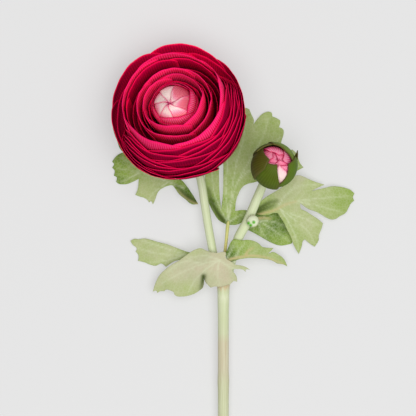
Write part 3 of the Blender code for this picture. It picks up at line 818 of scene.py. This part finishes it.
# %% Leaf tools
# Walls, squares, widths, heights and the spacing of side veins are in millimetres.
LEAF_WALL = 0.4
LEAF_GRID = 0.7
SOFTNESS = 5.0
QUILT = 0.35
QUILT_WIDTH = 1.6
WAVE = 0.5
WAVE_LENGTH = 7.0
VEIN_WIDTH = 0.45
RIB_WIDTH = 0.6
FOLD_WIDTH = 1.3
FOLD_STRENGTH = 1.3
FOLD_DEPTH = 0.8
LINE_STEP = 0.3
FIRST_BRANCH = 3.0
BRANCH_GAP = 2.2
BRANCH_REACH = 9.0
BRANCH_AHEAD = 0.8
BRANCH_ASIDE = 0.55
BRANCH_BEND = 0.02
TOOTH = True


def blade_outline(outline):
    """A closed edge in plan: a third entry on a point says that it is a sharp tooth or notch."""
    curve = bpy.data.curves.new("outline", "CURVE")
    curve.dimensions = "2D"
    curve.fill_mode = "NONE"
    curve.resolution_u = 4
    spline = curve.splines.new("BEZIER")
    spline.use_cyclic_u = True
    spline.bezier_points.add(len(outline) - 1)
    for point, place in zip(spline.bezier_points, outline):
        point.co = (place[0], place[1], 0.0)
        point.handle_left_type = point.handle_right_type = "VECTOR" if len(place) > 2 else "AUTO"
    guide = bpy.data.objects.new("outline", curve)
    bpy.context.scene.collection.objects.link(guide)
    bpy.context.view_layer.update()
    graph = bpy.context.evaluated_depsgraph_get()
    mesh = bpy.data.meshes.new_from_object(guide.evaluated_get(graph))
    bpy.data.objects.remove(guide, do_unlink=True)
    return mesh


def spread(samples, x, y):
    """A value at a place in plan, run smoothly between samples of x, y and value."""
    total = weights = 0.0
    for near_x, near_y, value in samples:
        weight = 1.0 / ((x - near_x) ** 2 + (y - near_y) ** 2 + SOFTNESS ** 2) ** 1.5
        total += weight * value
        weights += weight
    return total / weights


def route_points(routes, branch=0.0):
    """A search tree of points along routes and their side veins, and the line's strength at each."""
    found = []
    for route in routes:
        line = smooth_route([(x, y, 0.0, 1.0) for x, y in route], steps=12)
        length = sum((after - before).length for before, after in zip(line, line[1:]))
        walked, next_branch, side = 0.0, FIRST_BRANCH, 1.0
        for before, after in zip(line, line[1:]):
            stretch = (after - before).length
            strength = 1.0 - 0.6 * walked / length
            for k in range(max(1, round(stretch / LINE_STEP))):
                place = before + (after - before) * (k * LINE_STEP / max(stretch, LINE_STEP))
                found.append((place.xyz, strength))
            walked += stretch
            if branch and walked > next_branch and stretch > 0:
                ahead = (after - before).xyz.normalized()
                aside = Vector((-ahead.y, ahead.x, 0.0)) * side
                reach = branch * (1.1 - walked / length)
                for k in range(int(reach / LINE_STEP)):
                    out = k * LINE_STEP
                    place = after.xyz + aside * BRANCH_ASIDE * out
                    place += ahead * (BRANCH_AHEAD * out + BRANCH_BEND * out * out)
                    found.append((place, 0.5 * strength * (1.0 - out / (reach + LINE_STEP))))
                next_branch += BRANCH_GAP
                side = -side
    tree = kdtree.KDTree(len(found))
    for index, (place, strength) in enumerate(found):
        tree.insert(place, index)
    tree.balance()
    return tree, [strength for place, strength in found]


def line_at(lines, x, y, width):
    """How strongly a place in plan is on one of the lines, from 0 to 1, and how far it is from one."""
    tree, strengths = lines
    place, index, distance = tree.find((x, y, 0.0))
    if place is None:
        return 0.0, 99.0
    return strengths[index] * math.exp(-(distance / width) ** 2), distance


def make_blade(cad_node, outline, heights, tones, veins, ribs=(), folds=()):
    """One leaf blade: veins fan out with side veins, ribs are tan, and folds sink as creases painted dark
    with painted shade.
    """
    name = f"{cad_node}_blade"
    mesh = blade_outline(outline)
    shape = bmesh.new()
    shape.from_mesh(mesh)
    bmesh.ops.contextual_create(shape, geom=shape.edges[:])
    for side in range(2):
        values = [vert.co[side] for vert in shape.verts]
        normal = Vector((1.0 - side, side, 0.0))
        for k in range(math.floor(min(values) / LEAF_GRID) + 1, math.ceil(max(values) / LEAF_GRID)):
            everything = shape.verts[:] + shape.edges[:] + shape.faces[:]
            bmesh.ops.bisect_plane(shape, geom=everything, dist=0.04, plane_co=normal * k * LEAF_GRID,
                                   plane_no=normal)
    layers = {key: shape.verts.layers.float.new(key) for key in ("tone", "vein", "rib", "fold")}
    vein_lines = route_points(list(veins) + list(ribs), branch=BRANCH_REACH)
    rib_lines = route_points(ribs)
    fold_lines = route_points(folds)
    seed = len(name)
    for vert in shape.verts:
        x, y = vert.co.x, vert.co.y
        vein, distance = line_at(vein_lines, x, y, VEIN_WIDTH)
        fold = min(1.0, FOLD_STRENGTH * line_at(fold_lines, x, y, FOLD_WIDTH)[0])
        swell = QUILT * (1.0 - math.exp(-(distance / QUILT_WIDTH) ** 2))
        wave = WAVE * noise.noise(Vector((x / WAVE_LENGTH, y / WAVE_LENGTH, seed)))
        height = spread(heights, x, y) + swell + wave - FOLD_DEPTH * fold
        vert[layers["tone"]] = spread(tones, x, y)
        vert[layers["vein"]] = vein
        vert[layers["rib"]] = line_at(rib_lines, x, y, RIB_WIDTH)[0]
        vert[layers["fold"]] = fold
        vert.co = world((x, y, max(height, LEAF_WALL / 2 + 0.05)))
    bmesh.ops.recalc_face_normals(shape, faces=shape.faces[:])
    bpy.data.meshes.remove(mesh)
    print(name, "has", len(shape.faces), "small squares")
    return finish_piece(shape, name, leaf_green, cad_node, LEAF_WALL)


print("blades", LEAF_WALL, "mm thick, in squares", LEAF_GRID, "mm wide")

# %% [markdown]
# The blade is matt, with hardly a shine. Its tone picks the green, soft patches shift it, the veins
# are paler, the dried ribs are tan, and a net of tiny veins a millimetre and a half apart covers it.

# %% Leaf material
LEAF_NET_SPACING = 20 / 13
leaf_green, leaf_tree, leaf_shader, leaf_read = new_material(
    "leaf blade, matt and veined", 0.75, ("tone", "vein", "rib", "fold"))
leaf_place = add_node(leaf_tree, "ShaderNodeTexCoord").outputs["Object"]
leaf_patches = add_node(leaf_tree, "ShaderNodeTexNoise", links={"Vector": leaf_place},
                        values={"Scale": 0.16 / MM, "Detail": 5.0, "Roughness": 0.6})
leaf_shift = add_node(leaf_tree, "ShaderNodeMath", operation="MULTIPLY_ADD", values={1: 0.4}, links={
    0: leaf_patches.outputs["Fac"], 2: leaf_read["tone"]})
leaf_base = add_node(leaf_tree, "ShaderNodeValToRGB", links={"Fac": leaf_shift.outputs[0]}, stops=[
    (0.1, "#C6B89E"), (0.35, "#B7B892"), (0.55, "#A8B37A"), (0.8, "#8AA24A"), (1.0, "#547022")])
leaf_net = add_node(leaf_tree, "ShaderNodeTexVoronoi", feature="DISTANCE_TO_EDGE",
                    links={"Vector": leaf_place}, values={"Scale": 1.0 / (LEAF_NET_SPACING * MM)})
leaf_net_line = add_node(leaf_tree, "ShaderNodeMapRange", links={"Value": leaf_net.outputs["Distance"]},
                         values={"From Min": 0.0, "From Max": 0.12, "To Min": 0.2, "To Max": 0.0})
# The dark fold colour is painted shade in the creases; the net, vein and rib colours are the leaf's own.
leaf_coated = add_coats(leaf_tree, leaf_base.outputs["Color"], [
    (leaf_net_line.outputs["Result"], 1.0, "#D1D7B6"), (leaf_read["vein"], 0.65, "#D1D9B6"),
    (leaf_read["rib"], 1.0, "#BBA870"), (leaf_read["fold"], 0.95, "#43521D")])
leaf_fibre = add_node(leaf_tree, "ShaderNodeTexNoise", links={"Vector": leaf_place},
                      values={"Scale": 1.6 / MM, "Detail": 3.0})
leaf_grain = add_node(leaf_tree, "ShaderNodeMath", operation="ADD", links={
    0: leaf_fibre.outputs["Fac"], 1: leaf_net_line.outputs["Result"]})
finish_material(leaf_tree, leaf_shader, leaf_coated, leaf_grain.outputs[0], 0.35, 0.2)
print("net of small veins every", round(LEAF_NET_SPACING, 2), "mm")

# %% [markdown]
# The front leaf lies over the fork and hides it. It has dried to beige along its middle, and one
# fold runs in from the notch between its two lower lobes, darkened with painted shade.

# %% Leaves round the fork
make_blade(
    "leaf_front",
    outline=[
        (1, 17.8), (-2.5, 17.6), (-6, 17.8), (-9, 18.8), (-11.2, 19.8), (-14, 19.2), (-17, 17.5),
        (-20, 15.3), (-23, 13.2), (-26.5, 11.2), (-29.3, 9), (-32, 6.4), (-33.4, 4), (-34.8, 0.6),
        (-35.6, -2.2, TOOTH), (-33.8, -1.8), (-33.3, -2.9, TOOTH), (-31.8, -2), (-29.8, -2, TOOTH),
        (-29, -1.2), (-26.8, -1.5), (-25, -2.4, TOOTH), (-24.3, -4), (-20.8, -4.6), (-17.8, -4.2),
        (-14.3, -3), (-11.8, -1.3), (-10.4, 0), (-9.9, 6, TOOTH), (-9.2, 3.2), (-6.3, 0, TOOTH),
        (-4.6, 0.6), (-1.8, 0.5), (2.2, 1.5), (3.8, 2.2), (5.2, 3.3), (6.8, 3, TOOTH), (6.8, 4.8),
        (5.8, 7), (4.4, 8.8), (7.4, 9.3), (9.8, 9), (11.2, 8, TOOTH), (11.3, 9), (13.3, 9, TOOTH),
        (11, 10.5), (8, 11.3), (6, 11.6), (4, 13), (1.2, 15)],
    heights=[(0, 16, 13), (1, 3, 13), (-5, 10, 12.5), (-15, 18, 10), (-25, 5, 7.5), (-35, -2, 5),
             (-16, -4, 7), (13, 9, 10)],
    tones=[(-3, 12, -0.06), (-14, 9, 0.0), (0, 4, -0.1), (-24, 6, 0.08), (-32, 0, 0.3), (-18, -3, 0.42),
           (-22, -2, 0.36), (-12, 18, 0.34), (6, 4, 0.3), (-8, 2, 0.3), (12, 9, 0.3)],
    veins=[[(-2, 14), (-10, 12), (-20, 8), (-31, 2)], [(-2, 14), (-9, 9), (-14, 4), (-18, -3)],
           [(-2, 14), (-9, 16), (-17, 15)], [(-2, 14), (-3, 8), (-2, 1)], [(-2, 14), (4, 10), (12, 9)],
           [(-10, 12), (-20, 13), (-28, 8)]],
    folds=[[(-10, 5.6), (-10.6, 2), (-11.4, -1)]])
make_blade(
    "leaf_lower_left",
    outline=[
        (-7, 16, TOOTH), (-12, 17), (-17, 17.6), (-20, 18.5), (-24, 20), (-28.5, 21.7), (-33, 22.8),
        (-37, 24), (-40, 24.6), (-43, 24.2), (-45, 24.4), (-47, 23.4, TOOTH), (-46, 21.5),
        (-43.8, 19.4), (-44.4, 18, TOOTH), (-43, 16), (-43.2, 13.2, TOOTH), (-40, 12.5), (-37, 11.3),
        (-34, 10.8), (-31.4, 11.9), (-29, 10.2, TOOTH), (-26.6, 12), (-23.8, 13.4), (-17, 14), (-12, 14)],
    heights=[(-8, 16, 6.5), (-18, 16, 4.5), (-30, 17, 2.5), (-46, 24, 0.3), (-43, 13, 0.3),
             (-29, 10, 0.8)],
    tones=[(-8, 16, 0.7), (-16, 15, 0.55), (-28, 17, 0.2), (-40, 20, 0.25), (-44, 14, 0.42),
           (-40, 24, 0.4), (-30, 11, 0.45)],
    veins=[[(-8, 15.5), (-20, 16), (-33, 17), (-43, 19.5)], [(-20, 16), (-29, 13.5), (-38, 12.5)],
           [(-18, 16), (-30, 20), (-42, 23.6)]])
make_blade(
    "leaf_lower_right",
    outline=[
        (1, 17, TOOTH), (2.2, 19.6), (3.8, 23), (5.3, 24.3), (8.8, 23.8), (12.2, 24), (15.2, 23.5),
        (17.7, 22.2), (19.4, 20.6), (21.3, 20.1), (25.3, 19.8, TOOTH), (23.4, 17.8),
        (22.6, 16.9, TOOTH), (25, 17.8), (27.8, 16.5), (30.3, 14.6), (31.7, 12.2), (32.3, 10.4, TOOTH),
        (30.8, 11.3), (29.3, 11.7), (27.2, 12, TOOTH), (24.3, 13.6), (20.8, 14.4), (16.3, 14.8),
        (12.3, 14.8), (8.3, 14.3), (4.8, 13.3), (2, 13, TOOTH)],
    heights=[(1, 15, 11.4), (6, 18, 12), (14, 20, 10.4), (24, 19, 6), (31, 12, 3.5), (14, 14, 9.5)],
    tones=[(2, 16, 1.0), (5, 20, 0.72), (10, 22, 0.55), (16, 20, 0.4), (24, 16, 0.4), (30, 13, 0.45),
           (14, 15, 0.5)],
    veins=[[(6, 15), (8, 19), (11, 23)], [(2, 15), (4, 19), (6, 23)]],
    ribs=[[(1.6, 13.6), (6, 14.9), (13.2, 16), (19, 15.6), (24, 14.2), (31, 11.4)],
          [(11, 16), (12.4, 18.4), (15, 20)]])

# %% [markdown]
# The upper leaf stands behind the flower and the bud on its own yellow-green stalk. A narrow slit
# parts its left lobe, whose left edge is folded up into a brighter strip.

# %% The upper leaf
make_blade(
    "leaf_upper",
    outline=[
        (2, 31.5, TOOTH), (-2.3, 34), (-4.4, 37), (-6.4, 40.5), (-8.3, 45.5), (-9.2, 51), (-9, 60),
        (-8.5, 67), (-5, 74, TOOTH), (-2.6, 67), (-2.2, 58), (-2, 48), (-1.1, 39.2, TOOTH), (-0.3, 46),
        (0, 56), (0.2, 70), (2.5, 83), (7, 89.6), (11.2, 90.7), (13.2, 90, TOOTH), (14.2, 87.5),
        (15.5, 84.4), (15.3, 82.4, TOOTH), (16.8, 84.5), (19.3, 87.3), (21.3, 88.5), (23.3, 88.8),
        (24.5, 88.2), (24.8, 86.4, TOOTH), (27.2, 85.4), (28.8, 84.4, TOOTH), (28.8, 82.8),
        (28.2, 81, TOOTH), (30.3, 79.8), (30.6, 78.2), (29.6, 74.4, TOOTH), (28.3, 69), (26, 61),
        (21, 55), (15.8, 53), (11.3, 51.8), (9.2, 50), (7.8, 47.5), (6.5, 44), (5.9, 38.5, TOOTH),
        (10.8, 39), (13, 38.4, TOOTH), (11, 34.4), (7.8, 31.9)],
    heights=[(2, 32, 5.6), (10, 36, 5), (0, 48, 4), (-8, 48, 2), (-7, 68, 1.2), (4, 62, 4.2),
             (15, 62, 4.5), (28, 72, 1.2), (11, 90, 0.3), (25, 88, 0.3), (29, 80, 0.5)],
    tones=[(2, 33, 0.72), (4, 40, 0.5), (-6, 42, 0.85), (-8, 50, 0.55), (-3, 52, 0.35), (3, 50, 0.48),
           (10, 60, 0.42), (18, 80, 0.42), (28, 80, 0.5), (12, 88, 0.5), (9, 36, 0.72), (10, 50, 0.55)],
    veins=[[(2.5, 33), (4, 45), (6, 60), (10, 75), (11, 88)],
           [(3, 36), (6, 50), (12, 62), (20, 76), (23, 86)], [(8, 54), (17, 63), (29, 76)],
           [(2.5, 33), (1.5, 48), (2, 62), (3, 80)], [(2, 33), (-2, 41), (-5, 50), (-6, 66)],
           [(3, 33), (7, 35.5), (11, 37)]],
    folds=[[(0, 33.5), (-3.6, 38.6), (-6, 43.4), (-7.6, 50)]])

# %% [markdown]
# The left leaf comes out from behind the flower. At its foot it is folded to a dark green edge
# over an olive underside, with painted shade along the fold.

# %% The left leaf
make_blade(
    "leaf_left",
    outline=[
        (-12.6, 42, TOOTH), (-20, 53), (-33, 65), (-42, 82), (-51, 87, TOOTH), (-55.8, 82.8),
        (-55.3, 78), (-53.8, 74), (-52.3, 70), (-50.6, 68.2, TOOTH), (-53.3, 67), (-55.3, 65),
        (-56.3, 63.4, TOOTH), (-55.4, 62.4), (-56.3, 60.4, TOOTH), (-55.1, 59), (-55.4, 56.4, TOOTH),
        (-53.9, 55.4), (-54.3, 53.4, TOOTH), (-53.2, 52.4), (-51.2, 52), (-48.2, 52.3), (-45.8, 53.3),
        (-42.8, 54.8, TOOTH), (-43.5, 49), (-44.6, 46.7, TOOTH), (-42.3, 45.8), (-39.8, 45),
        (-38.3, 43.9), (-37.6, 42.8, TOOTH), (-36.6, 43.4), (-35.7, 41.9, TOOTH), (-34.8, 43.6),
        (-33.8, 46.5), (-32.8, 48.5), (-30.8, 50), (-27.8, 51.3), (-25.8, 51.4), (-24.3, 49.8),
        (-22.3, 47), (-19.3, 44.6), (-16, 42)],
    heights=[(-13, 42, 5.5), (-20, 48, 3.5), (-28, 56, 2.6), (-45, 60, 0.8), (-55, 60, 0.3),
             (-37, 44, 0.3), (-52, 82, 0.3), (-36, 68, 1.8)],
    tones=[(-14, 42, 0.5), (-18, 45.5, 0.95), (-22, 49, 0.75), (-28, 54, 0.4), (-40, 50, 0.25),
           (-36, 44, 0.32), (-44, 56, 0.5), (-48, 60, 0.62), (-55, 60, 0.7), (-50, 53, 0.75),
           (-54, 80, 0.85), (-52, 72, 0.8)],
    veins=[[(-20, 50), (-30, 54), (-42, 58), (-54, 60)], [(-28, 53), (-35, 48), (-38, 44)],
           [(-42, 58), (-48, 55), (-52, 53)], [(-28, 55), (-42, 68), (-53, 80)],
           [(-38, 57), (-46, 62), (-52, 66)]],
    ribs=[[(-13.5, 42.2), (-17, 44), (-20, 46), (-23, 49)]],
    folds=[[(-14, 43.6), (-18, 46), (-21.6, 49), (-24, 51.5)]])

# %% [markdown]
# The right leaf is the largest. It grows from the side bud with a light folded strip along its
# foot, and its lobes overlap the darker leaf under it. The last, small one shows behind the bud.

# %% The right-hand leaves
make_blade(
    "leaf_right",
    outline=[
        (16.2, 37, TOOTH), (18.2, 42.6), (21.3, 45.4), (25.6, 48), (29.3, 50.4), (32.3, 53),
        (35.2, 55.4), (37, 56.5), (39.3, 56.3), (42.3, 55), (45.8, 53.5), (51.2, 51.8, TOOTH),
        (48, 50.4), (44.6, 48.6, TOOTH), (48.3, 49.5), (51.8, 50.3), (54.8, 51), (58.8, 50.8),
        (62.3, 50), (64.4, 49.2), (66.4, 47.3, TOOTH), (65.6, 45.5), (66.3, 43.7, TOOTH),
        (64.8, 42.5), (63.3, 40), (61.8, 37.5), (58.8, 35.8), (56.8, 34.5), (54.6, 34.2), (52.3, 35),
        (49.3, 36.8), (46.3, 38.3), (42.8, 39.6), (38.8, 42.4, TOOTH), (39, 39.9), (41.8, 38.3),
        (44.8, 36.4), (47.8, 34.4), (50.4, 32.3, TOOTH), (49.8, 30), (49.2, 28.4), (48.3, 26),
        (48.2, 23.6), (46.3, 20.4, TOOTH), (43.8, 22), (41.2, 24.1, TOOTH), (40.2, 23.3), (39.8, 21),
        (38.2, 16.7, TOOTH), (36.8, 19), (35.3, 22), (34.2, 25), (32.2, 29), (30.2, 33), (28.2, 36),
        (27.2, 37.4), (21.5, 36.4)],
    heights=[(17, 37, 8.4), (25, 41, 8), (33, 50, 6), (40, 54, 4.5), (50, 52, 2), (66, 46, 0.3),
             (56, 40, 2.5), (38, 40, 7), (29, 37, 7.5), (48, 30, 2.5), (46, 22, 0.3), (35, 27, 4.5),
             (38, 18, 1.5)],
    tones=[(18, 38, 0.75), (20, 43.5, 0.5), (24, 43, 0.6), (29, 47, 0.3), (30, 42, 0.1), (37, 55, 0.1),
           (46, 51, 0.35), (36, 47, 0.3), (52, 46, 0.4), (60, 44, 0.62), (65, 45, 0.55), (54, 37, 0.5),
           (40, 36, 0.3), (44, 30, 0.25), (46, 23, 0.45), (36, 28, 0.4), (38, 19, 0.45), (31, 34, 0.55)],
    veins=[[(30, 41), (37, 43.4), (50, 45), (64, 46)], [(28, 42), (33, 48), (38, 51), (48, 52)],
           [(28, 40), (36, 34), (43, 28), (46, 22)], [(29, 39), (34, 31), (37, 24), (38, 18)],
           [(37, 43.4), (48, 41), (60, 38)], [(34, 37), (41, 34.6), (48, 31.6)]],
    ribs=[[(16.8, 36.6), (21, 37.6), (26, 39), (31, 41.6), (37, 43.4)]],
    folds=[[(16.6, 38.6), (20, 41), (23.4, 42.8), (27, 43.6)], [(17, 38), (21, 39.8), (25.6, 41.6)]])
make_blade(
    "leaf_right_under",
    outline=[
        (16, 37, TOOTH), (11.3, 29.4, TOOTH), (14.3, 28), (18.3, 25.8), (22.3, 23.5), (25.8, 21.8),
        (28.8, 21), (31.3, 21.2), (34.6, 22, TOOTH), (36.5, 27), (33, 36), (24, 38.4)],
    heights=[(16, 34, 4.6), (12, 30, 4), (20, 29, 2.8), (28, 30, 1.5), (28, 23, 0.3), (36, 24, 0.3),
             (34, 32, 0.6)],
    tones=[(16, 34, 0.85), (12, 30, 0.7), (20, 29, 0.66), (28, 23, 0.6), (30, 32, 0.85), (34, 24, 0.6)],
    veins=[[(17, 34), (22, 31), (28, 27), (34, 23)], [(17, 34), (19, 29), (22, 24)],
           [(17, 34), (15, 31), (12.4, 29.4)], [(17, 34), (25, 33), (33, 30)]],
    ribs=[[(16.6, 34.4), (20, 35), (24, 34.6)]])
make_blade(
    "leaf_behind_bud",
    outline=[
        (22, 52, TOOTH), (26, 62), (31, 68.6), (34.8, 69.4, TOOTH), (36.8, 67.5), (37.4, 66),
        (38.4, 63), (40.3, 60.4, TOOTH), (38.3, 59.4), (36, 58), (28, 54)],
    heights=[(22, 52, 9.6), (30, 60, 9), (36, 69, 7.5), (40, 60, 7.5)],
    tones=[(24, 54, 0.7), (32, 62, 0.5), (37, 66, 0.4), (39, 61, 0.5)],
    veins=[[(23, 53), (31, 60), (39, 61)], [(27, 57), (32, 64), (35, 68)]])
